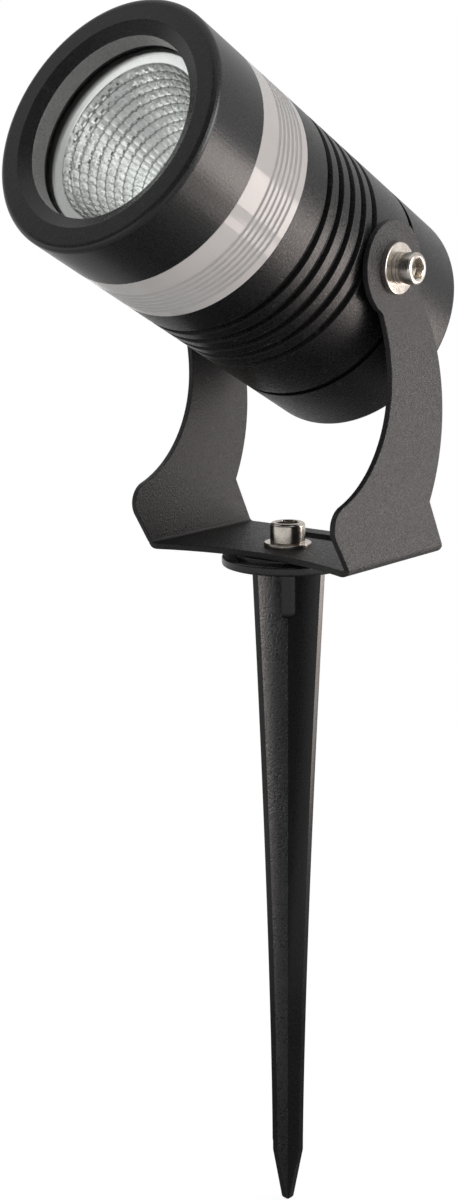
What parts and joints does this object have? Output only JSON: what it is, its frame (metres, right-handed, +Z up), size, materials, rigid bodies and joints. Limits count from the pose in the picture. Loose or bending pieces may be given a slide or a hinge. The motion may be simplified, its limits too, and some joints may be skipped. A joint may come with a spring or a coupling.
{
  "type": "garden spike spotlight",
  "caption": "Garden spotlight: grooved cylindrical head with a clear side-light ring, tilting in a folded steel yoke that swivels on a finned ground spike.",
  "frame": {"origin": "on the spike's axis at the underside of its flange, where the soil ends", "axes": "+Z up along the spike; the head aims towards -Y and up at rest; its tilt axis lies along X"},
  "size_m": [0.087, 0.1386, 0.3565],
  "materials": {
    "spike_plastic": "rough moulded black plastic",
    "brass_insert": "turned brass",
    "stainless_steel": "polished stainless steel",
    "spring_steel": "stainless spring steel",
    "yoke_powder_coat": "coarse black powder coat",
    "nylon_washer": "black nylon",
    "body_powder_coat": "fine black powder coat",
    "black_rubber": "black silicone rubber",
    "clear_acrylic": "clear polished acrylic",
    "anodised_bezel": "smooth satin black anodised",
    "toughened_glass": "clear polished glass",
    "bright_reflector": "metallised facets",
    "white_plastic": "white moulded plastic",
    "chip_ceramic": "glazed ceramic",
    "yellow_phosphor": "silicone with phosphor",
    "green_board": "solder mask",
    "copper_coil": "enamelled copper",
    "capacitor_sleeve": "printed sleeve left bare",
    "black_nylon": "moulded black nylon"
  },
  "bodies": {
    "ground_spike": {"spike": "spike_plastic", "spike_insert": "brass_insert", "base_screw": "stainless_steel", "base_washer": "stainless_steel"},
    "yoke": {"yoke_bracket": "yoke_powder_coat"},
    "lamp_head": {"housing": "body_powder_coat", "rear_cap": "body_powder_coat", "cap_oring": "black_rubber", "glow_ring": "clear_acrylic", "front_oring": "black_rubber", "rear_oring": "black_rubber", "bezel_ring": "anodised_bezel", "glass_gasket": "black_rubber", "front_glass": "toughened_glass", "reflector": "bright_reflector", "led_holder": "white_plastic", "led_chip": "chip_ceramic", "led_phosphor": "yellow_phosphor", "holder_screws": "stainless_steel", "driver_board": "green_board", "board_spacers": "brass_insert", "board_screws": "stainless_steel", "driver_coil": "copper_coil", "driver_capacitor": "capacitor_sleeve", "terminal_block": "green_board", "gland_washer": "black_rubber", "gland_body": "black_nylon", "gland_locknut": "brass_insert", "gland_bush": "black_rubber", "gland_nut": "black_nylon", "pivot_screws": "stainless_steel", "pivot_spring_washers": "spring_steel", "pivot_washers": "stainless_steel", "friction_washers": "nylon_washer"}
  },
  "joints": [
    {"name": "yoke_swivel", "type": "hinge", "parent": "ground_spike", "child": "yoke", "pos_m": [0, 0, 0.0054], "axis": [0, 0, 1], "continuous": true},
    {"name": "head_tilt", "type": "hinge", "parent": "yoke", "child": "lamp_head", "pos_m": [0, 0, 0.0852], "axis": [-1, 0, 0], "range_deg": [-70, 195]}
  ]
}
